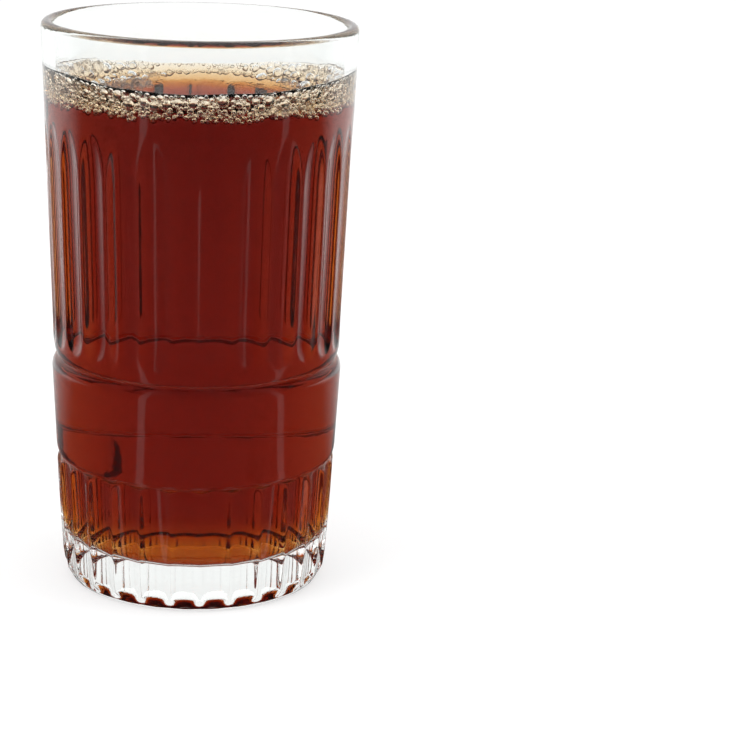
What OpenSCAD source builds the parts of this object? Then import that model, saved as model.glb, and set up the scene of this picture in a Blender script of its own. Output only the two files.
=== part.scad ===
// Pressed chai glass, filled with black tea under a ring of froth.
// Millimetres, +Z up, origin at the middle of the foot, on the table.
// A ridge between two flutes points at -Y, the side that the photo shows.

/* [Glass] */
// Height from the table to the top of the lip
glass_h = 107.5; // [103:0.5:130]
// Outside diameter just under the rounded lip
mouth_d = 59; // [58:0.5:66]
// Outside diameter at the lower end of the fluted body
body_low_d = 55; // [50:0.5:57]
// Wall thickness at the lip
lip_wall = 2.4; // [1.8:0.1:3]
// Wall thickness at the lower end of the fluted body, over its ridges
body_wall = 2.05; // [1.9:0.05:4]

/* [Band and grooves] */
// Height of the upper groove, under the fluted body
groove_upper_z = 43.8; // [38:0.1:50]
// Height of the lower groove, over the fluted base
groove_lower_z = 24.4; // [18:0.1:30]
// Depth of the upper groove, in from the body's lower end
groove_upper_in = 1.25; // [0.4:0.05:1.6]
// How far the band's top edge stands out from the body's lower end
band_out = 0.15; // [-0.4:0.05:1]
// How much the band's radius shrinks from its top edge to its bottom edge
band_taper = 0.75; // [0:0.05:1.05]
// Depth of the lower groove, in from the band's bottom edge
groove_lower_in = 0.95; // [0.3:0.05:1.2]
// Height of the long round over the upper groove
body_round_h = 5.5; // [2:0.1:8]
// Height of the round over the lower groove
band_round_h = 2.8; // [1:0.1:5]
// Height of the short round under each groove
edge_round_h = 2.1; // [0.8:0.1:4]

/* [Base] */
// How far the top of the base lies in from the body's lower end
base_in = 0.65; // [0:0.05:1]
// How much the base's radius shrinks from its top down to the foot bevel
base_taper = 1.25; // [0.4:0.05:2]
// Height of the foot bevel
foot_bevel_h = 2.4; // [0.8:0.1:4]
// Width of the foot bevel, from the base in to the foot
foot_bevel_w = 1.6; // [0.8:0.1:3.1]
// Width of the flat ring that stands on the table
foot_w = 4; // [2:0.1:7]
// Depth of the hollow inside that ring
hollow_h = 1.2; // [0.4:0.1:2.5]
// Width of the hollow's rounded edge
hollow_round_w = 2.6; // [0.8:0.1:5]

/* [Flutes] */
// Number of flutes round the glass, the same on body and base
flute_n = 28; // [16:1:29]
// Depth of a body flute
flute_depth = 0.7; // [0.5:0.05:0.9]
// Width of the ridge between two body flutes
ridge_w = 0.8; // [0.2:0.1:2.5]
// Height at which a body flute fades out under the lip
flute_top_z = 89.5; // [80:0.5:92]
// Length over which it fades out
flute_fade = 10; // [6:0.5:16]
// How far its rounded lower tip lies over the upper groove
flute_low_up = 2.8; // [1.8:0.1:8.2]
// Length over which the tip reaches its full depth
flute_tip_h = 3; // [1.5:0.1:6]
// Depth of a base flute
base_flute_depth = 0.75; // [0.5:0.05:0.9]
// Width of the ridge between two base flutes
base_ridge_w = 0.25; // [0.1:0.05:2]

/* [Cavity] */
// Height of the cavity floor at its edge
floor_z = 8.5; // [7:0.1:12]
// Radius of the round between wall and floor
floor_round = 3; // [1.5:0.1:5]
// Dip of the floor in the middle
floor_dip = 0.4; // [0.1:0.1:1]

/* [Tea] */
// Height of the tea surface
tea_z = 93.8; // [60:0.1:96]
// Height that the tea climbs at the wall
meniscus_h = 0.9; // [0.4:0.1:1.5]
// Width of the climbing edge
meniscus_w = 3; // [1.5:0.1:3.8]
// Clearance that keeps the tea's solid off the glass
tea_gap = 0.05; // [0.02:0.01:0.1]

/* [Froth] */
// Height of the froth at the wall, over the tea surface
froth_h = 5.6; // [2.5:0.1:7]
// Width of the froth ring from the wall inwards
froth_w = 8; // [4:0.1:12]
// Thickness of the froth at its inner edge, between bubbles
froth_edge_h = 0.6; // [0.3:0.1:2]
// Number of large bubbles round the ring, in each of its two rows
bubble_n = 20; // [10:1:20]
// Height that a large bubble stands out of the froth
bubble_h = 1.2; // [0.4:0.1:2]

/* [Hidden] */

// Roundness of the turned pieces, and steps of their curved edges
turned_fn = 64;
edge_steps = 6;
// Heights at which the rounds and fades get a ring of points, as shares of their length
round_shares = [0.6, 0.93];
tip_shares = [0.02, 0.15, 0.42, 0.62, 0.8, 1];
fade_shares = [0, 0.4, 0.65, 0.85, 0.98];
lip_steps = 4;
corner_steps = 3;
// Places of a bubble's points across it, from its middle out, and of the points down the slope
bubble_shares = [-1, -0.7, -0.3, 0, 0.3, 0.7];
slope_shares = [0.75, 0.5, 0.25];

// Radii and heights worked out from the sizes above
mouth_r = mouth_d / 2;
lip_r = lip_wall / 2;
lip_z = glass_h - lip_r;
body_low_r = body_low_d / 2;
body_low_z = groove_upper_z + body_round_h;
groove_upper_r = body_low_r - groove_upper_in;
band_top_z = groove_upper_z - edge_round_h;
band_top_r = body_low_r + band_out;
band_low_z = groove_lower_z + band_round_h;
band_low_r = band_top_r - band_taper;
groove_lower_r = band_low_r - groove_lower_in;
base_top_z = groove_lower_z - edge_round_h;
base_top_r = body_low_r - base_in;
base_low_r = base_top_r - base_taper;
foot_r = base_low_r - foot_bevel_w;
hollow_r = foot_r - foot_w;
full_depth_z = groove_upper_z + flute_low_up + flute_tip_h;
fade_z = flute_top_z - flute_fade;
flute_step = 360 / flute_n;

// Radius at a height on the straight line from (r0, z0) to (r1, z1)
function on_line(z, r0, z0, r1, z1) = r0 + (r1 - r0) * (z - z0) / (z1 - z0);

// Radius at a height on a quarter round, upright at (r0, z0), that dives into a groove at (r1, z1)
function on_round(z, r0, z0, r1, z1) =
    let (share = (z - z0) / (z1 - z0))
    r1 + (r0 - r1) * sqrt(max(0, 1 - share * share));

// The tapered bodies that the flutes are pressed into
function body_r(z) = on_line(z, body_low_r, body_low_z, mouth_r, lip_z);
function base_r(z) = on_line(z, base_low_r, foot_bevel_h, base_top_r, base_top_z);

// Radius of the outside over the ridges, from the table to the lip
function outer_r(z) =
    z < foot_bevel_h ? on_line(z, foot_r, 0, base_low_r, foot_bevel_h) :
    z < base_top_z ? base_r(z) :
    z < groove_lower_z ? on_round(z, base_top_r, base_top_z, groove_lower_r, groove_lower_z) :
    z < band_low_z ? on_round(z, band_low_r, band_low_z, groove_lower_r, groove_lower_z) :
    z < band_top_z ? on_line(z, band_low_r, band_low_z, band_top_r, band_top_z) :
    z < groove_upper_z ? on_round(z, band_top_r, band_top_z, groove_upper_r, groove_upper_z) :
    z < body_low_z ? on_round(z, body_low_r, body_low_z, groove_upper_r, groove_upper_z) :
    body_r(z);

// Depth of the flutes' middle at a height: they fade at the top and end in a rounded tip
function body_depth(z) =
    let (up = max(0, (z - fade_z) / flute_fade), down = max(0, (full_depth_z - z) / flute_tip_h))
    max(0, flute_depth * (1 - up * up - down * down) - body_r(z) + outer_r(z));
function base_depth(z) = max(0, base_flute_depth - base_r(z) + outer_r(z));

// One ring of points, six to a flute: its ridge, its two edges, halfway in and its middle
edge_shares = [-1, -0.5, 0, 0.5, 1];
function ring(r, z, half_turn, depth) = [
    for (i = [0 : flute_n - 1])
        for (share = concat([undef], edge_shares))
            let (ridge = is_undef(share),
                 turn = (i + 0.5) * flute_step + (ridge ? -flute_step / 2 : half_turn * share),
                 at_r = ridge ? r : r - depth * (1 - share * share))
            [at_r * cos(turn), at_r * sin(turn), z]
];

// Ring with no flutes, its points spread evenly
function plain_ring(r, z) = ring(r, z, flute_step / 3, 0);

// Ring of the outside at a height, with a flute that narrows as it gets shallower
function fluted_ring(z, between, full_depth, depth) =
    let (r = outer_r(z), full_turn = flute_step / 2 - between / 2 / r * 180 / PI)
    depth > 0 ? ring(r, z, full_turn * sqrt(depth / full_depth), depth) : plain_ring(r, z);
function body_ring(z) = fluted_ring(z, ridge_w, flute_depth, body_depth(z));
function base_ring(z) = fluted_ring(z, base_ridge_w, base_flute_depth, base_depth(z));

// Radius of the cavity wall at a height, and the round between wall and floor
function wall_r(z) = on_line(z, body_low_r - body_wall, body_low_z, mouth_r - lip_wall, lip_z);
function floor_corner(gap) =
    let (z = floor_z + floor_round, r = wall_r(z) - floor_round)
    [for (i = [0 : corner_steps])
        let (a = 90 * i / corner_steps)
        [r + (floor_round - gap) * cos(a), z - (floor_round - gap) * sin(a)]];

// Rings of the glass in order: foot hollow, base, band, fluted body, lip and cavity
glass_rings = concat(
    [for (share = concat([0], round_shares))
        plain_ring(hollow_r - hollow_round_w * (1 - share), hollow_h * sqrt(1 - share * share))],
    [plain_ring(hollow_r, 0)],
    [for (share = [0, 0.5, 1]) base_ring(foot_bevel_h * share)],
    [for (share = concat([0], round_shares)) base_ring(base_top_z + edge_round_h * share)],
    [plain_ring(groove_lower_r, groove_lower_z)],
    [for (share = round_shares)
        let (z = band_low_z - band_round_h * (round_shares[0] + round_shares[1] - share))
        plain_ring(outer_r(z), z)],
    [plain_ring(band_low_r, band_low_z)],
    [for (share = concat([0], round_shares))
        let (z = band_top_z + edge_round_h * share)
        plain_ring(outer_r(z), z)],
    [plain_ring(groove_upper_r, groove_upper_z)],
    [for (share = tip_shares) body_ring(groove_upper_z + (full_depth_z - groove_upper_z) * share)],
    [for (share = fade_shares) body_ring(fade_z + flute_fade * share)],
    [for (i = [0 : lip_steps])
        let (a = 180 * i / lip_steps)
        plain_ring(mouth_r - lip_r + lip_r * cos(a), lip_z + lip_r * sin(a))],
    [for (point = floor_corner(0)) plain_ring(point[0], point[1])]
);

// One pressed piece: walls, heavy base, plain band and both rows of flutes
module glass_tumbler() {
    around = 6 * flute_n;
    rows = len(glass_rings);
    points = concat(
        [for (one = glass_rings, point = one) point],
        [[0, 0, hollow_h], [0, 0, floor_z - floor_dip]]
    );
    last = (rows - 1) * around;
    color([0.9, 0.93, 0.92, 0.4])
        polyhedron(points, concat(
            [for (row = [0 : rows - 2], i = [0 : around - 1])
                let (a = row * around + i, b = row * around + (i + 1) % around)
                each [[a, a + around, b + around], [a, b + around, b]]],
            [for (i = [0 : around - 1]) [rows * around, i, (i + 1) % around]],
            [for (i = [0 : around - 1]) [rows * around + 1, last + (i + 1) % around, last + i]]
        ), convexity = 10);
}

// Edge of the tea's surface that climbs the wall, lifted by a clearance
function tea_edge(lift) =
    let (out_r = wall_r(tea_z + meniscus_h) - tea_gap)
    [for (i = [0 : edge_steps])
        let (share = i / edge_steps)
        [out_r - meniscus_w * (1 - share), tea_z + lift + meniscus_h * share * share]];

// Tea up to its surface
module tea() {
    color([0.45, 0.07, 0.02, 0.9])
        rotate_extrude($fn = turned_fn)
            polygon(concat(
                [[0, floor_z - floor_dip + tea_gap], [0, tea_z]],
                tea_edge(0),
                floor_corner(tea_gap)
            ));
}

// Height of a bubble's round at a column of points, as a share of its whole height
function bubble_share(i) =
    let (share = bubble_shares[i % len(bubble_shares)])
    sqrt(1 - share * share);

// Ring of froth that lies on the tea and piles up against the wall, with two rows of large bubbles
module froth() {
    top_z = tea_z + froth_h;
    low_z = tea_z + tea_gap;
    out_low_r = wall_r(low_z + meniscus_h) - tea_gap;
    crest_r = wall_r(top_z) - tea_gap - bubble_h;
    inner_r = wall_r(tea_z) - froth_w;
    // bubbles of the crest, and of the slope in the gaps between those
    columns = len(bubble_shares) * bubble_n;
    sections = [for (i = [0 : columns - 1])
        let (crest = bubble_h * bubble_share(i), slope = bubble_h * bubble_share(i + len(bubble_shares) / 2))
        concat(
            [[inner_r, low_z], [out_low_r - meniscus_w, low_z], [out_low_r, low_z + meniscus_h]],
            [[crest_r + bubble_h, top_z - bubble_h], [crest_r, top_z - bubble_h + crest]],
            [for (share = slope_shares)
                [inner_r + (crest_r - inner_r) * share,
                 low_z + froth_edge_h + (top_z - low_z - froth_edge_h - bubble_h) * share * share
                     + slope * sin(180 * (1 - share))]],
            [[inner_r - slope / 2, low_z + froth_edge_h]]
        )];
    around = len(sections[0]);
    color([0.85, 0.78, 0.7])
        polyhedron(
            [for (i = [0 : columns - 1], point = sections[i])
                [point[0] * cos(360 * i / columns), point[0] * sin(360 * i / columns), point[1]]],
            [for (i = [0 : columns - 1], j = [0 : around - 1])
                let (a = i * around + j, b = i * around + (j + 1) % around,
                     c = (i + 1) % columns * around + (j + 1) % around, d = (i + 1) % columns * around + j)
                each [[a, b, c], [a, c, d]]],
            convexity = 10
        );
}

glass_tumbler();
tea();
froth();
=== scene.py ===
"""A pressed chai glass with tea and froth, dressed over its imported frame.

Metres, +Z up, origin at the middle of the foot. The photograph was taken from the -Y side.
Lengths below are in millimetres, but for those whose name ends in _M or whose comment says metres.
A turn goes round the glass from -Y towards +X, in radians.
"""

import math
import random

import bmesh
import bpy
import numpy as np
from mathutils import Matrix, Vector
from mathutils.kdtree import KDTree


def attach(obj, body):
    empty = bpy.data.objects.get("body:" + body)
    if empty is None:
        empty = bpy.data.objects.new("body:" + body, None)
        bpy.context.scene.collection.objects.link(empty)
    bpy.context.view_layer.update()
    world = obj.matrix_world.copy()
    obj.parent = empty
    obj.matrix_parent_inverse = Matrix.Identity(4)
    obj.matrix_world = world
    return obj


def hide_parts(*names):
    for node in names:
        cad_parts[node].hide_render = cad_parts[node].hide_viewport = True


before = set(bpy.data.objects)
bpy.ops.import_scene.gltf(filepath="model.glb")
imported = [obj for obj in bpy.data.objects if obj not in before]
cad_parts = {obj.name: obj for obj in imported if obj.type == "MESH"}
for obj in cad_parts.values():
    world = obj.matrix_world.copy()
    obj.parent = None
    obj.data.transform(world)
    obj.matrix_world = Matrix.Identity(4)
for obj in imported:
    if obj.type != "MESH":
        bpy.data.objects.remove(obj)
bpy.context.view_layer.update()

MM = 0.001
SEED = 11

# Glass, as in the part's source
GLASS_H = 107.5
MOUTH_R = 29.5
BODY_LOW_R = 27.5
LIP_R = 1.2
LIP_Z = GLASS_H - LIP_R
GROOVE_UPPER_Z, GROOVE_UPPER_R = 43.8, 26.25
GROOVE_LOWER_Z, GROOVE_LOWER_R = 24.4, 25.95
BODY_LOW_Z = 49.3
BAND_TOP_Z, BAND_TOP_R = 41.7, 27.65
BAND_LOW_Z, BAND_LOW_R = 27.2, 26.9
BASE_TOP_Z, BASE_TOP_R = 22.3, 26.85
BEVEL_Z, BASE_LOW_R = 2.4, 25.6
FOOT_R = 24.0
HOLLOW_R, HOLLOW_H, HOLLOW_ROUND = 20.0, 1.2, 2.6
WALL_LOW_R, WALL_TOP_R = 25.45, 27.1
FLOOR_Z, FLOOR_ROUND, FLOOR_DIP = 8.5, 3.0, 0.4

# Flutes, as in the source but for their longer lower tips: a ridge points at -Y
FLUTES = 28
PITCH = 2 * math.pi / FLUTES
BODY_FLUTE = dict(ridge=0.8, depth=0.7)
BASE_FLUTE = dict(ridge=0.25, depth=0.75)
FLUTE_TOP_Z, FLUTE_FADE = 89.5, 10.0
FLUTE_FULL_Z, FLUTE_TIP = 51.4, 4.8

# How far fire polish rounds the flutes' edges, the base's upper crease and the foot's edge
EDGE_SOFTNESS = 0.12
CREASE_SOFTNESS, CREASE_RISE = 0.2, 0.03
FOOT_SOFTNESS = 0.5

# Rows of the outside, as (height, rows down to the next height): many at the flutes' ends, few where
# they run straight, and guard rows by the lip and the band that keep the shading flat there
FLUTES_START_Z, STRAIGHT_TOP_Z, STRAIGHT_LOW_Z = 92.0, 76.0, 52.0
LIP_GUARDS, BAND_GUARDS = (0.15, 0.5), (0.2, 0.6)
OUTSIDE_STOPS = (
    (GLASS_H, 8), (LIP_Z, 1), (LIP_Z - LIP_GUARDS[0], 1), (LIP_Z - LIP_GUARDS[1], 6),
    (FLUTES_START_Z, 46), (STRAIGHT_TOP_Z, 10), (STRAIGHT_LOW_Z, 34), (GROOVE_UPPER_Z, 12),
    (BAND_TOP_Z, 1), (BAND_TOP_Z - BAND_GUARDS[0], 1), (BAND_TOP_Z - BAND_GUARDS[1], 6),
    (BAND_LOW_Z + BAND_GUARDS[1], 1), (BAND_LOW_Z + BAND_GUARDS[0], 1), (BAND_LOW_Z, 12),
    (GROOVE_LOWER_Z, 12), (BASE_TOP_Z, 10), (BEVEL_Z, 4), (0.0, 0),
)

# Columns of points round the glass
COLUMNS_A_FLUTE = 24
COLUMNS = FLUTES * COLUMNS_A_FLUTE

# Other rows: counts on rounds and the wet wall, shares of the way down a wall, and radii on flats
LIP_ARC_ROWS, FLOOR_ARC_ROWS, HOLLOW_ARC_ROWS, WET_WALL_ROWS = 8, 12, 6, 30
DRY_SHARES = (0.02, 0.06, 0.14, 0.28, 0.42, 0.56, 0.7, 0.84, 0.96)
FILM_SHARES = (0.01, 0.04, 0.09, 0.17, 0.26, 0.35, 0.44, 0.53, 0.62, 0.7, 0.78, 0.85, 0.91, 0.96, 1.0)
RING_STEP = 1.5
HOLLOW_FLAT_R = (9.0, 1.0)
FLOOR_FLAT_R = (18.0, 12.0, 6.0, 1.0)
TEA_FLAT_R = (20.0, 15.0, 8.0, 1.0)

# Tea, and how far its wall is pressed into the glass
TEA_Z = 93.8
WETTING = 0.06

# Film of tea on the wall inside the froth, rounded at its top, and the wedge at its foot
FILM_W, FILM_SWING, FILM_ROUND_SHARE = 1.0, 0.6, 0.17
WEDGE_W, WEDGE_SWING, WEDGE_H = 6.0, -0.5, 1.2

# Lumps of the film: size, waves round the glass, lean, and the coarse ones' swell with height
COARSE_LUMP, COARSE_WAVES, COARSE_LEAN = 0.14, 64, 2.6
COARSE_SWELL, COARSE_PHASE = 2.9, 1.3
FINE_LUMP, FINE_WAVES, FINE_LEAN = 0.09, 101, -3.7

# Froth: its highest point, how far it climbs the wall and hangs in the tea, and its raft's width, each
# as a mean, cosines of (size, waves round the glass) and sines of (size, waves, phase)
FROTH_TOP_Z = 99.4
CLIMB = dict(mean=4.35, cosines=((0.9, 1), (-1.15, 2)), sines=((0.12, 5, 1), (0.07, 11, 0)))
HANG = dict(mean=0.05, cosines=((1.1, 1), (-0.45, 2)), sines=((0.25, 9, 0), (0.25, 23, 2)))
RAFT = dict(mean=4.0, cosines=((-3.3, 2),), sines=((0.5, 5, 0), (0.4, 8, 2)))
RAFT_LEAST = 0.7
LOBE_W, LOBE_TURN, LOBE_SPREAD = 9.0, 4.0, 0.5

# Bubbles, as (radius, tries) from the largest down, and the spread of a radius
BUBBLES = ((1.15, 260), (0.8, 1200), (0.6, 3000), (0.45, 4500), (0.33, 3500))
SIZE_SPREAD = (0.85, 1.15)

# Their places: the share tried on the wall, how far in they pile there, and how high they float
WALL_SHARE = 0.72
PILE = (-0.8, 1.0)
FLOAT_SHARE = 0.3

# On the wall, large bubbles stay high, and none is larger than its place by more than SPARE_ROOM
LARGE_R, LARGE_LOW_SHARE = 0.6, 0.3
SPARE_ROOM = 0.1

# Gaps to the wall before and after it flattens a bubble, and the least distance from the axis that
# the flattening divides by
WALL_GAP, FLAT_GAP = 0.03, 0.02
LEAST_REACH = 1e-6

# How near two bubbles may come, as a share of their radii, and the cells in which they are sought
NEAR_SHARE = 0.86
CELL = 2.4
CELL_STEPS = (-1, 0, 1)

# Balls that bubbles are made from: cuts of the large and of the small ones
FINE_OVER_R, FINE_CUTS, COARSE_CUTS = 0.6, 3, 2

# Seams where a bubble touches its neighbours, sought among the nearest bubbles with itself among them:
# where a seam starts and how wide it is, as shares of the neighbour's radius, and how much of the diffuse
# skin shows there, dark brown at a seam: painted shade in the creases between bubbles, partly tea
# gathered there
NEAREST = 12
SEAM_START_SHARE, SEAM_WIDE_SHARE = 0.98, 0.16
SEAM_TEA_AND_SHADE_SHARE = 0.55

# How milky a bubble is elsewhere, partly its own milk and partly painted light: more milky, so lighter,
# at the front and towards the crest; and when it counts as lying in the tea
MILK_LEAST, PAINTED_LIGHT_MILK = 0.04, 0.06
FRONT_FADE, FRONT_SHARE, CREST_H = 14, 0.2, 1.5
SUNK, AWASH_SHARE = 0.2, 0.3

# Materials: ripple distances are in metres, and the tea's density is per metre
WHITE, BLACK = (1, 1, 1, 1), (0, 0, 0, 1)
RIPPLE_DETAIL, RIPPLE_ROUGHNESS, RIPPLE_STRENGTH = 2.0, 0.45, 0.5
GLASS_TINT, GLASS_IOR = (0.985, 0.992, 0.988, 1), 1.52
GLASS_RIPPLE = dict(scale=260.0, distance=0.00006)
TEA_COLOUR, TEA_DENSITY = (0.86, 0.61, 0.2, 1), 300.0
TEA_RIPPLE = dict(scale=60.0, distance=0.00003)
WATER_IOR, AIR_IN_TEA_IOR = 1.333, 0.75
FILM_TINT, FILM_EDGE_TINT = (0.97, 0.95, 0.92, 1), (0.97, 0.94, 0.9, 1)
FILM_BLEND = 0.55
MILK_ROUGHNESS, MILK_IOR = 0.1, 1.45
# The diffuse skin's colour from a bare bubble to a seam: milk, then dark brown painted shade in the
# creases, partly tea
MILK_TO_SEAM_SHADE_STOPS = ((0.25, (0.92, 0.86, 0.8, 1)), (0.7, (0.15, 0.06, 0.035, 1)))

# Share of the tea's free surface that lets light through without mirroring, as a skin of froth does,
# and the bend of light from glass into tea, a little weaker than the true one so that it veils less
CLEAR_SHARE = 0.85
WALL_IOR = 0.89

# Camera, fitted to the rim, the grooves, the foot and the sides in a 736 by 736 frame, in degrees
CAMERA_TURN = -2.2
CAMERA_BACK, CAMERA_UP = 451.0, 164.8
CAMERA_YAW, CAMERA_DOWN, CAMERA_ROLL = 4.191, 15.309, -1.752
CAMERA_FOCAL_PX, FRAME_PX, SENSOR_MM = 2420.3, 736, 36
CAMERA_NEAR_M = 0.01

# How white a reflection sees the studio: full white behind the glass, but only this on the camera's
# side, where full white would veil the dark tea
MIRRORED_LEVEL = 0.05

# Where it rises to full white, along +Y: a share of the direction to the world, metres on the table
WORLD_RISE = (0.2, 1.0)
TABLE_RISE_M = (0.04, 0.2)

# Upright white strips in the dim side: middle and half width in degrees round the glass from +Y
# towards +X, and how white they are in a reflection
STRIPS = ((-138.0, 3.0, 0.4), (118.0, 3.0, 0.35))

# Table, half lit and half glowing, so that it is white and keeps a soft shadow
TABLE_HALF_M, TABLE_Z_M = 4.0, -0.0001
TABLE_CORNERS = ((-1, -1), (1, -1), (1, 1), (-1, 1))
TABLE_COLOUR, TABLE_GLOW = (0.5, 0.5, 0.5, 1), 0.5

# Lamps, as name, place and size in metres, and power in watts
LAMPS = (
    ("left_softbox", (-0.55, -0.35, 0.5), (0.5, 0.8), 3.0),
    ("right_softbox", (0.6, -0.1, 0.5), (0.5, 0.8), 2.0),
)
LAMP_AIM_M = (0, 0, 0.06)

# Light paths, long because glass stands in front of tea in front of glass
MOST_BOUNCES, THROUGH_BOUNCES, CLEAR_BOUNCES = 32, 24, 48

TURN = np.linspace(0, 2 * math.pi, COLUMNS, endpoint=False)


def waves(turn, mean, cosines, sines):
    """Sum of waves round the glass, at one turn or at many."""
    total = mean
    for size, times in cosines:
        total = total + size * np.cos(times * turn)
    for size, times, phase in sines:
        total = total + size * np.sin(times * turn + phase)
    return total


CONTACT_Z = TEA_Z + waves(TURN, **CLIMB)


# Shapes

def on_line(z, r0, z0, r1, z1):
    """Radius on the straight line from (r0, z0) to (r1, z1)."""
    return r0 + (r1 - r0) * (z - z0) / (z1 - z0)


def on_round(z, r0, z0, r1, z1):
    """Radius on a quarter round, upright at (r0, z0), that dives into a groove at (r1, z1)."""
    share = (z - z0) / (z1 - z0)
    return r1 + (r0 - r1) * math.sqrt(max(0.0, 1 - share * share))


def body_r(z):
    return on_line(z, BODY_LOW_R, BODY_LOW_Z, MOUTH_R, LIP_Z)


def base_r(z):
    return on_line(z, BASE_LOW_R, BEVEL_Z, BASE_TOP_R, BASE_TOP_Z)


def bevel_r(z):
    return on_line(z, FOOT_R, 0, BASE_LOW_R, BEVEL_Z)


def wall_r(z):
    """Radius of the cavity's straight wall."""
    return on_line(z, WALL_LOW_R, BODY_LOW_Z, WALL_TOP_R, LIP_Z)


def ridge_r(z):
    """Radius of the outside over the ridges, from the table to the lip."""
    if z >= LIP_Z:
        return MOUTH_R - LIP_R + math.sqrt(max(0.0, LIP_R ** 2 - (z - LIP_Z) ** 2))
    if z >= BODY_LOW_Z:
        return body_r(z)
    if z >= GROOVE_UPPER_Z:
        return on_round(z, BODY_LOW_R, BODY_LOW_Z, GROOVE_UPPER_R, GROOVE_UPPER_Z)
    if z >= BAND_TOP_Z:
        return on_round(z, BAND_TOP_R, BAND_TOP_Z, GROOVE_UPPER_R, GROOVE_UPPER_Z)
    if z >= BAND_LOW_Z:
        return on_line(z, BAND_LOW_R, BAND_LOW_Z, BAND_TOP_R, BAND_TOP_Z)
    if z >= GROOVE_LOWER_Z:
        return on_round(z, BAND_LOW_R, BAND_LOW_Z, GROOVE_LOWER_R, GROOVE_LOWER_Z)
    if z >= BASE_TOP_Z:
        return on_round(z, BASE_TOP_R, BASE_TOP_Z, GROOVE_LOWER_R, GROOVE_LOWER_Z)
    if z >= BEVEL_Z:
        return base_r(z)
    return bevel_r(z)


def flute_cut(radius, ridge, depth, fade):
    """How deep the flutes are all the way round, softened at their edges."""
    across = ((TURN / PITCH) % 1.0 - 0.5) * PITCH * radius / ((PITCH * radius - ridge) / 2)
    cut = depth * (1 - across ** 2 - fade)
    return 0.5 * (cut + np.sqrt(cut ** 2 + EDGE_SOFTNESS ** 2))


def soft_min(a, b, softness):
    """The smaller of two radii, with the crease between them fire-polished."""
    return 0.5 * (a + b - np.sqrt((a - b) ** 2 + softness ** 2))


def outside(z):
    """Radius of the outside at a height, for each column."""
    plain = ridge_r(z)
    if GROOVE_UPPER_Z < z < LIP_Z:
        up = max(0.0, (z - FLUTE_TOP_Z + FLUTE_FADE) / FLUTE_FADE)
        down = max(0.0, (FLUTE_FULL_Z - z) / FLUTE_TIP)
        dive = (body_r(z) - plain) / BODY_FLUTE["depth"]
        return plain - flute_cut(body_r(z), fade=up ** 2 + down ** 2 + dive, **BODY_FLUTE)
    if 0 <= z < GROOVE_LOWER_Z:
        fluted = base_r(z) - flute_cut(base_r(z), fade=0.0, **BASE_FLUTE)
        shoulder = plain if z > BASE_TOP_Z else base_r(z) + CREASE_RISE * (BASE_TOP_Z - z) ** 2
        return soft_min(bevel_r(z), soft_min(shoulder, fluted, CREASE_SOFTNESS), FOOT_SOFTNESS)
    return np.full(COLUMNS, plain)


def outside_rows():
    """Outside of the glass, from the lip down to the table."""
    heights = []
    for (z0, count), (z1, _) in zip(OUTSIDE_STOPS, OUTSIDE_STOPS[1:]):
        heights += list(np.linspace(z0, z1, count, endpoint=False))
    return [(outside(z), z) for z in heights + [OUTSIDE_STOPS[-1][0]]]


def arc(first, last, count):
    """Angles of the rows on a round, given in degrees, in radians, without the first."""
    return [math.radians(angle) for angle in np.linspace(first, last, count)[1:]]


def hollow_rows():
    """Flat ring of the foot and the hollow inside it, from the outside in."""
    rows = [(FOOT_R - RING_STEP, 0.0), (HOLLOW_R, 0.0)]
    for a in arc(0, 90, HOLLOW_ARC_ROWS):
        rows.append((HOLLOW_R - HOLLOW_ROUND * (1 - math.cos(a)), HOLLOW_H * math.sin(a)))
    return rows + [(r, HOLLOW_H) for r in HOLLOW_FLAT_R]


def dry_rows():
    """Inside of the lip and the wall over the tea, from the top down."""
    rows = []
    for a in arc(90, 180, LIP_ARC_ROWS):
        rows.append((MOUTH_R - LIP_R + LIP_R * math.cos(a), LIP_Z + LIP_R * math.sin(a)))
    for share in DRY_SHARES:
        z = LIP_Z + (CONTACT_Z - LIP_Z) * share
        rows.append((wall_r(z), z))
    return rows


def wet_rows(push=0.0):
    """Wall under the tea's edge, round and floor of the cavity, pushed outwards by a little."""
    low_z = FLOOR_Z + FLOOR_ROUND
    rows = []
    for share in np.linspace(0, 1, WET_WALL_ROWS):
        z = CONTACT_Z + (low_z - CONTACT_Z) * share
        rows.append((wall_r(z) + push, z))
    edge = wall_r(low_z) - FLOOR_ROUND
    reach = FLOOR_ROUND + push
    for a in arc(0, 90, FLOOR_ARC_ROWS):
        rows.append((edge + reach * math.cos(a), low_z - reach * math.sin(a)))
    return rows + [(r, FLOOR_Z - push - FLOOR_DIP * (1 - (r / edge) ** 2)) for r in FLOOR_FLAT_R]


def film_width(turn, up):
    """Widths of the film of tea on the wall, and of the wedge at its foot, at a height over the tea."""
    film = FILM_W + FILM_SWING * np.cos(turn)
    return film, (WEDGE_W + WEDGE_SWING * np.cos(turn)) * np.exp(-up / WEDGE_H)


def film_lumps(up):
    """Lumps that the bubbles press into the film, for each column's height over the tea."""
    swell = np.sin(COARSE_SWELL * up + COARSE_PHASE)
    coarse = COARSE_LUMP * np.sin(COARSE_WAVES * TURN + COARSE_LEAN * up) * swell
    return coarse + FINE_LUMP * np.sin(FINE_WAVES * TURN + FINE_LEAN * up)


def film_rows():
    """Tea that stands in the froth on the wall, lumpy with bubbles, and widens to a wedge at its foot."""
    rows = []
    for share in FILM_SHARES:
        up = (CONTACT_Z - TEA_Z) * (1 - share)
        film, wedge = film_width(TURN, up)
        wide = (film + film_lumps(up)) * math.sqrt(min(1.0, share / FILM_ROUND_SHARE)) + wedge
        rows.append((wall_r(TEA_Z + up) + WETTING - wide, TEA_Z + up))
    return rows


# Pieces

def new_object(name, data):
    """Object in the scene, at the origin."""
    thing = bpy.data.objects.new(name, data)
    bpy.context.scene.collection.objects.link(thing)
    return thing


def new_mesh(name, verts, faces):
    """Smooth mesh from points in millimetres."""
    mesh = bpy.data.meshes.new(name)
    mesh.from_pydata((verts * MM).tolist(), [], faces)
    mesh.shade_smooth()
    return mesh


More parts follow.
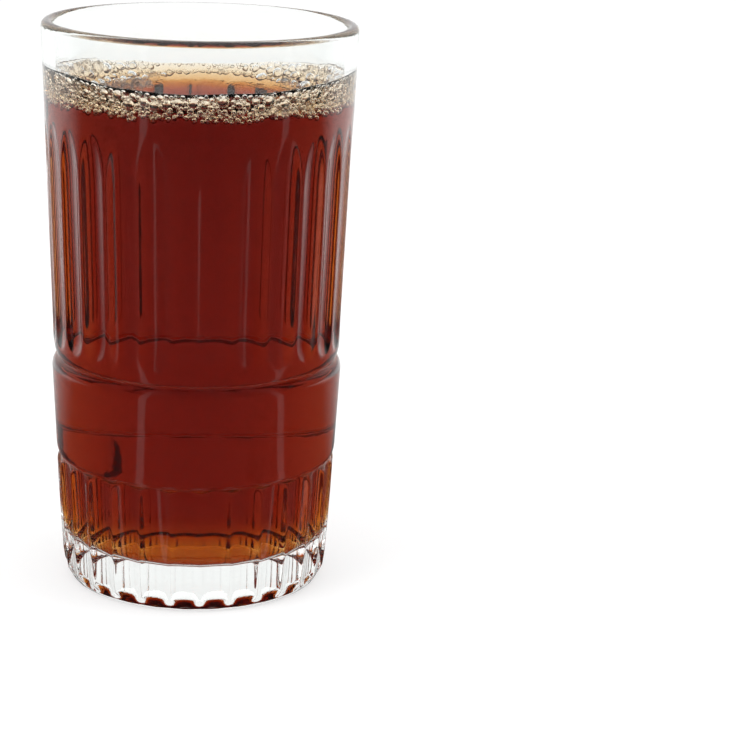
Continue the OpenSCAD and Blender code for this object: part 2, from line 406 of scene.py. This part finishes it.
def lathe(name, rows, first_z, last_z):
    """Closed piece from rows of radius and height, each one number or one a column.

    A point on the axis closes each end, at first_z and at last_z.
    """
    points = []
    for radius, z in rows:
        r = np.broadcast_to(radius, COLUMNS)
        points.append(np.stack([r * np.sin(TURN), -r * np.cos(TURN), np.broadcast_to(z, COLUMNS)], -1))
    here = np.arange(COLUMNS)
    beside = np.roll(here, -1)
    bands = [
        np.stack([row * COLUMNS + here, row * COLUMNS + beside,
                  (row + 1) * COLUMNS + beside, (row + 1) * COLUMNS + here], -1)
        for row in range(len(rows) - 1)
    ]
    top = len(rows) * COLUMNS
    last = top - COLUMNS
    faces = np.concatenate(bands).tolist()
    faces += [[top, int(b), int(a)] for a, b in zip(here, beside)]
    faces += [[top + 1, int(last + a), int(last + b)] for a, b in zip(here, beside)]
    verts = np.concatenate(points + [np.array([[0, 0, first_z], [0, 0, last_z]])])
    return new_object(name, new_mesh(name, verts, faces))


def seat(piece, node):
    """Puts a piece in a node's place on the body."""
    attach(piece, "root")
    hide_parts(node)


# Shader nodes

def feed(tree, socket, value):
    """Links an output to a socket, or sets the socket to a value."""
    if isinstance(value, bpy.types.NodeSocket):
        tree.links.new(value, socket)
    else:
        socket.default_value = value


def add(tree, kind, **sockets):
    """Node with its sockets fed by name, with _ for a space."""
    node = tree.nodes.new(kind)
    for key, value in sockets.items():
        feed(tree, node.inputs[key.replace("_", " ")], value)
    return node


def mix(tree, share, first, second):
    """Mix of two shader nodes, with a number or an output for the share of the second."""
    node = tree.nodes.new("ShaderNodeMixShader")
    feed(tree, node.inputs[0], share)
    tree.links.new(first.outputs[0], node.inputs[1])
    tree.links.new(second.outputs[0], node.inputs[2])
    return node


def work_out(tree, operation, *values):
    """Output of a Math node that is fed numbers and outputs."""
    node = tree.nodes.new("ShaderNodeMath")
    node.operation = operation
    for socket, value in zip(node.inputs, values):
        feed(tree, socket, value)
    return node.outputs[0]


def attribute(tree, name):
    node = tree.nodes.new("ShaderNodeAttribute")
    node.attribute_name = name
    return node.outputs["Fac"]


def ripple(tree, scale, distance):
    """Faint unevenness of a pressed or poured surface, as a normal."""
    place = tree.nodes.new("ShaderNodeTexCoord")
    noise = add(tree, "ShaderNodeTexNoise", Vector=place.outputs["Object"], Scale=scale,
                Detail=RIPPLE_DETAIL, Roughness=RIPPLE_ROUGHNESS)
    bump = add(tree, "ShaderNodeBump", Strength=RIPPLE_STRENGTH, Distance=distance,
               Height=noise.outputs[0])
    return bump.outputs["Normal"]


# Materials

def new_material(name):
    mat = bpy.data.materials.new(name)
    mat.use_nodes = True
    tree = mat.node_tree
    tree.nodes.clear()
    return mat, tree, tree.nodes.new("ShaderNodeOutputMaterial")


def clear_glass():
    mat, tree, out = new_material("clear_pressed_glass")
    glass = add(tree, "ShaderNodeBsdfGlass", Color=GLASS_TINT, Roughness=0.0, IOR=GLASS_IOR,
                Normal=ripple(tree, **GLASS_RIPPLE))
    tree.links.new(glass.outputs[0], out.inputs["Surface"])
    return mat


def wetted_wall():
    """The cavity wall under the tea line: the tea's own skin carries the bend of light there."""
    mat, tree, out = new_material("wetted_wall")
    clear = add(tree, "ShaderNodeBsdfTransparent", Color=WHITE)
    tree.links.new(clear.outputs[0], out.inputs["Surface"])
    return mat


def black_tea():
    """Clear tea: one bend at its free surface, a weaker one where it meets glass, colour inside."""
    mat, tree, out = new_material("black_tea")
    skin_normal = ripple(tree, **TEA_RIPPLE)
    water = dict(Color=WHITE, Roughness=0.0, IOR=WATER_IOR, Normal=skin_normal)
    mirror = add(tree, "ShaderNodeBsdfGlass", **water)
    clear = add(tree, "ShaderNodeBsdfRefraction", **water)
    wall = add(tree, "ShaderNodeBsdfGlass", Color=WHITE, Roughness=0.0, IOR=WALL_IOR)
    skin = mix(tree, attribute(tree, "on_wall"), mix(tree, CLEAR_SHARE, mirror, clear), wall)
    inside = add(tree, "ShaderNodeVolumeAbsorption", Color=TEA_COLOUR, Density=TEA_DENSITY)
    tree.links.new(skin.outputs[0], out.inputs["Surface"])
    tree.links.new(inside.outputs[0], out.inputs["Volume"])
    return mat


def froth_film():
    """Wet film of a bubble: clear where it is bare, dark brown where it touches its neighbours, which is
    painted shade in the creases between bubbles and partly tea gathered there.
    """
    mat, tree, out = new_material("froth_film")
    bare = add(tree, "ShaderNodeBsdfTransparent", Color=FILM_TINT)
    edge = add(tree, "ShaderNodeBsdfGlass", Color=FILM_EDGE_TINT, Roughness=0.0, IOR=WATER_IOR)
    facing = add(tree, "ShaderNodeLayerWeight", Blend=FILM_BLEND)
    film = mix(tree, facing.outputs["Facing"], bare, edge)
    ramp = tree.nodes.new("ShaderNodeValToRGB")
    tree.links.new(attribute(tree, "seam"), ramp.inputs[0])
    for stop, (position, colour) in zip(ramp.color_ramp.elements, MILK_TO_SEAM_SHADE_STOPS):
        stop.position = position
        stop.color = colour
    milk_and_shade = add(tree, "ShaderNodeBsdfPrincipled", Base_Color=ramp.outputs[0],
               Roughness=MILK_ROUGHNESS, IOR=MILK_IOR)
    # The share of the diffuse skin: milk with painted light at the front and crest, and dark brown
    # painted shade at the seams
    skin = mix(tree, attribute(tree, "body"), film, milk_and_shade)
    tree.links.new(skin.outputs[0], out.inputs["Surface"])
    return mat


def drowned_air():
    """Skin of an air bubble that lies in the tea: it shines where it throws light back."""
    mat, tree, out = new_material("drowned_air")
    skin = add(tree, "ShaderNodeBsdfGlass", Color=WHITE, Roughness=0.0, IOR=AIR_IN_TEA_IOR)
    tree.links.new(skin.outputs[0], out.inputs["Surface"])
    return mat


# Glass and tea

def make_glass():
    """The glass, with the wall under the tea as a second material."""
    dry = hollow_rows()[::-1] + outside_rows()[::-1] + dry_rows()
    rows = dry + wet_rows()
    glass = lathe("pressed_glass", rows, HOLLOW_H, FLOOR_Z - FLOOR_DIP)
    wet = np.zeros(len(glass.data.polygons), dtype=np.int32)
    wet[len(dry) * COLUMNS:(len(rows) - 1) * COLUMNS] = 1
    wet[-COLUMNS:] = 1
    glass.data.materials.append(clear_glass())
    glass.data.materials.append(wetted_wall())
    glass.data.polygons.foreach_set("material_index", wet)
    seat(glass, "glass_tumbler")


def make_tea():
    """Tea with its wall pressed a little into the glass, so that one surface bends the light."""
    wall = wet_rows(WETTING)[::-1]
    rows = wall + film_rows() + [(r, TEA_Z) for r in TEA_FLAT_R]
    tea = lathe("tea_body", rows, FLOOR_Z - FLOOR_DIP - WETTING, TEA_Z)
    on_wall = np.ones(len(tea.data.polygons), dtype=np.float32)
    on_wall[(len(wall) - 1) * COLUMNS:(len(rows) - 1) * COLUMNS] = 0
    on_wall[-COLUMNS:] = 0
    mask = tea.data.attributes.new("on_wall", "FLOAT", "FACE")
    mask.data.foreach_set("value", on_wall)
    tea.data.materials.append(black_tea())
    seat(tea, "tea")


# Froth

def clamp(value):
    return min(1.0, max(0.0, value))


def raft_width(turn):
    """Width of the raft of bubbles on the tea, from the wall inwards: widest at the left of the back."""
    lobe = LOBE_W * math.exp(-((turn - LOBE_TURN) / LOBE_SPREAD) ** 2)
    return max(RAFT_LEAST, waves(turn, **RAFT) + lobe)


def wall_spot(rng, size, r, turn):
    """Radius and height for a bubble on the wall, or None where it has no room."""
    top, low = waves(turn, **CLIMB), waves(turn, **HANG)
    z = TEA_Z + rng.uniform(-low, top - r)
    inwards = max(0.0, rng.uniform(*PILE)) * (top + TEA_Z - z) / top
    too_low = size > LARGE_R and z < TEA_Z + LARGE_LOW_SHARE * top
    if too_low or 2 * r > top + low + SPARE_ROOM:
        return None
    return wall_r(z) - r - WALL_GAP - inwards, z


def raft_spot(rng, r, turn):
    """Radius and height for a bubble afloat on the tea, or None where it has no room."""
    wide = raft_width(turn)
    out = wall_r(TEA_Z) - r - wide * rng.random()
    if wide < 2 * r:
        return None
    return out, TEA_Z + FLOAT_SHARE * r


def fits(cells, x, y, z, r):
    """Notes a bubble in its cell and says True, unless it comes too near an earlier one."""
    i, j, k = (int(v // CELL) for v in (x, y, z))
    near = [(i + a, j + b, k + c) for a in CELL_STEPS for b in CELL_STEPS for c in CELL_STEPS]
    for cell in near:
        for ox, oy, oz, other in cells.get(cell, ()):
            gap = (x - ox) ** 2 + (y - oy) ** 2 + (z - oz) ** 2
            if gap < (NEAR_SHARE * (r + other)) ** 2:
                return False
    cells.setdefault((i, j, k), []).append((x, y, z, r))
    return True


def bubble_places():
    """Centres and radii: bubbles pressed on the wall, and a thin raft of them on the tea."""
    rng = random.Random(SEED)
    placed, cells = [], {}
    for size, tries in BUBBLES:
        for _ in range(tries):
            turn = rng.uniform(0, 2 * math.pi)
            r = size * rng.uniform(*SIZE_SPREAD)
            on_wall = rng.random() < WALL_SHARE
            spot = wall_spot(rng, size, r, turn) if on_wall else raft_spot(rng, r, turn)
            if spot is None:
                continue
            out, z = spot
            place = (out * math.sin(turn), -out * math.cos(turn), min(z, FROTH_TOP_Z - r), r)
            if fits(cells, *place):
                placed.append(place)
    return placed


def milk_and_painted_light(y, z):
    """How milky a bubble is: thick froth at the front, clear bubbles at the back and on the tea; the milk
    that rises towards the front and the crest is painted light, which makes those bubbles lighter.
    """
    return MILK_LEAST + PAINTED_LIGHT_MILK * clamp(-y / FRONT_FADE + FRONT_SHARE) * clamp((z - TEA_Z) / CREST_H)


def is_drowned(x, y, z, r):
    """True for a bubble that lies in the film on the wall, in its wedge or under the tea."""
    inwards = wall_r(z) - math.hypot(x, y)
    film_and_wedge = sum(film_width(math.atan2(x, -y), z - TEA_Z))
    return z < TEA_Z - SUNK or inwards + AWASH_SHARE * r < film_and_wedge


def ball(cuts):
    """Points and triangles of a ball of radius 1."""
    bm = bmesh.new()
    bmesh.ops.create_icosphere(bm, subdivisions=cuts, radius=1.0)
    verts = np.array([v.co[:] for v in bm.verts])
    faces = np.array([[v.index for v in f.verts] for f in bm.faces])
    bm.free()
    return verts, faces


def bubble_points(shape, x, y, z, r):
    """A ball's points in a bubble's place, pressed flat by the wall and under the froth's top."""
    points = shape * r + np.array([x, y, z])
    reach = np.maximum(np.hypot(points[:, 0], points[:, 1]), LEAST_REACH)
    points[:, :2] *= np.minimum(1.0, (wall_r(z) - FLAT_GAP) / reach)[:, None]
    points[:, 2] = np.minimum(points[:, 2], FROTH_TOP_Z)
    return points


def seam_shares(points, index, places, tree):
    """How near each point of a bubble is to a neighbour's skin, from 0 to 1."""
    seam = np.zeros(len(points))
    for centre, other, _ in tree.find_n(places[index][:3], NEAREST):
        if other != index:
            away = np.linalg.norm(points - np.array(centre[:]), axis=1) / places[other][3]
            seam = np.maximum(seam, 1 - np.clip((away - SEAM_START_SHARE) / SEAM_WIDE_SHARE, 0, 1))
    return seam


def place_tree(places):
    """Search tree of the bubbles' centres."""
    tree = KDTree(len(places))
    for index, place in enumerate(places):
        tree.insert(place[:3], index)
    tree.balance()
    return tree


def make_froth():
    """One mesh of many bubbles, each flattened a little where it presses on the wall."""
    places = bubble_places()
    tree = place_tree(places)
    fine, coarse = ball(FINE_CUTS), ball(COARSE_CUTS)
    verts, faces, seams, milk_light_and_shade, slots, start = [], [], [], [], [], 0
    for index, (x, y, z, r) in enumerate(places):
        shape, tris = fine if r > FINE_OVER_R else coarse
        points = bubble_points(shape, x, y, z, r)
        seam = seam_shares(points, index, places, tree)
        # Milk share of the bubble, raised at the front and towards the crest as painted light
        milk_and_light = milk_and_painted_light(y, z)
        verts.append(points)
        faces.append(tris + start)
        seams.append(seam)
        # At a seam the diffuse share turns to dark brown painted shade, partly tea gathered between
        # bubbles
        milk_light_and_shade.append(milk_and_light + (SEAM_TEA_AND_SHADE_SHARE - milk_and_light) * seam)
        slots.append(np.full(len(tris), int(is_drowned(x, y, z, r)), dtype=np.int32))
        start += len(points)
    mesh = new_mesh("froth_bubbles", np.concatenate(verts), np.concatenate(faces).tolist())
    for label, values in (("seam", seams), ("body", milk_light_and_shade)):
        mark = mesh.attributes.new(label, "FLOAT", "POINT")
        mark.data.foreach_set("value", np.concatenate(values).astype(np.float32))
    mesh.materials.append(froth_film())
    mesh.materials.append(drowned_air())
    mesh.polygons.foreach_set("material_index", np.concatenate(slots))
    seat(new_object("froth_bubbles", mesh), "froth")


# Studio

def mirrored_level(tree, coordinate, near_y, far_y):
    """How white a mirror sees the studio: full white behind the glass, dim on the camera's side."""
    place = tree.nodes.new("ShaderNodeTexCoord")
    axes = add(tree, "ShaderNodeSeparateXYZ", Vector=place.outputs[coordinate])
    rise = add(tree, "ShaderNodeMapRange", Value=axes.outputs["Y"], From_Min=near_y, From_Max=far_y,
               To_Min=MIRRORED_LEVEL, To_Max=1.0)
    turn = work_out(tree, "ARCTAN2", axes.outputs["X"], axes.outputs["Y"])
    level = rise.outputs[0]
    for middle, half_width, white in STRIPS:
        inside = work_out(tree, "COMPARE", turn, math.radians(middle), math.radians(half_width))
        level = work_out(tree, "MULTIPLY_ADD", inside, white, level)
    return level


def backdrop_level(tree, coordinate, near_y, far_y):
    """White to the camera, through glass and for diffuse light, and mirrored_level in a reflection."""
    path = tree.nodes.new("ShaderNodeLightPath")
    mirrored = mirrored_level(tree, coordinate, near_y, far_y)
    level = work_out(tree, "MULTIPLY", path.outputs["Is Glossy Ray"], mirrored)
    for kind in ("Is Camera Ray", "Is Transmission Ray", "Is Diffuse Ray"):
        level = work_out(tree, "MAXIMUM", level, path.outputs[kind])
    return level


def make_world():
    world = bpy.data.worlds.new("white_studio")
    bpy.context.scene.world = world
    world.use_nodes = True
    tree = world.node_tree
    tree.nodes.clear()
    out = tree.nodes.new("ShaderNodeOutputWorld")
    level = backdrop_level(tree, "Generated", *WORLD_RISE)
    back = add(tree, "ShaderNodeBackground", Color=WHITE, Strength=level)
    tree.links.new(back.outputs[0], out.inputs["Surface"])


def white_table():
    """Half lit and half glowing, and darker in a reflection on the camera's side."""
    mat, tree, out = new_material("white_table")
    card = add(tree, "ShaderNodeBsdfDiffuse", Color=TABLE_COLOUR)
    glow = add(tree, "ShaderNodeEmission", Color=WHITE, Strength=TABLE_GLOW)
    both = tree.nodes.new("ShaderNodeAddShader")
    tree.links.new(card.outputs[0], both.inputs[0])
    tree.links.new(glow.outputs[0], both.inputs[1])
    dark = add(tree, "ShaderNodeEmission", Color=BLACK, Strength=0.0)
    pick = mix(tree, backdrop_level(tree, "Object", *TABLE_RISE_M), dark, both)
    tree.links.new(pick.outputs[0], out.inputs["Surface"])
    return mat


def make_floor():
    mesh = bpy.data.meshes.new("floor")
    corners = [(x * TABLE_HALF_M, y * TABLE_HALF_M, TABLE_Z_M) for x, y in TABLE_CORNERS]
    mesh.from_pydata(corners, [], [(0, 1, 2, 3)])
    mesh.materials.append(white_table())
    new_object("floor", mesh)


def make_lamp(name, place, size, power):
    """Softbox that the glass doesn't mirror, because it would leave blotches in the grooves."""
    lamp = bpy.data.lights.new(name, "AREA")
    lamp.shape = "RECTANGLE"
    lamp.size, lamp.size_y = size
    lamp.energy = power
    thing = new_object(name, lamp)
    thing.location = place
    thing.rotation_euler = (Vector(LAMP_AIM_M) - Vector(place)).to_track_quat("-Z", "Y").to_euler()
    thing.visible_glossy = False


def make_camera():
    yaw, down, roll = (math.radians(a) for a in (CAMERA_YAW, CAMERA_DOWN, CAMERA_ROLL))
    ahead = np.array([math.sin(yaw) * math.cos(down), math.cos(yaw) * math.cos(down), -math.sin(down)])
    right = np.array([math.cos(yaw), -math.sin(yaw), 0.0])
    up = np.cross(right, ahead)
    right_rolled = right * math.cos(roll) - up * math.sin(roll)
    up_rolled = up * math.cos(roll) + right * math.sin(roll)
    place = np.array([0.0, -CAMERA_BACK, CAMERA_UP]) * MM
    rows = [[right_rolled[i], up_rolled[i], -ahead[i], place[i]] for i in range(3)]
    data = bpy.data.cameras.new("camera")
    data.sensor_width = SENSOR_MM
    data.lens = CAMERA_FOCAL_PX / FRAME_PX * SENSOR_MM
    data.clip_start = CAMERA_NEAR_M
    camera = new_object("camera", data)
    turned = Matrix.Rotation(math.radians(CAMERA_TURN), 4, "Z")
    camera.matrix_world = turned @ Matrix(rows + [[0, 0, 0, 1]])
    bpy.context.scene.camera = camera


def set_light_paths():
    cycles = bpy.context.scene.cycles
    cycles.max_bounces = MOST_BOUNCES
    cycles.glossy_bounces = MOST_BOUNCES
    cycles.transmission_bounces = THROUGH_BOUNCES
    cycles.transparent_max_bounces = CLEAR_BOUNCES


make_glass()
make_tea()
make_froth()
make_world()
make_floor()
for lamp_values in LAMPS:
    make_lamp(*lamp_values)
make_camera()
set_light_paths()
bpy.context.scene.view_settings.view_transform = "Standard"
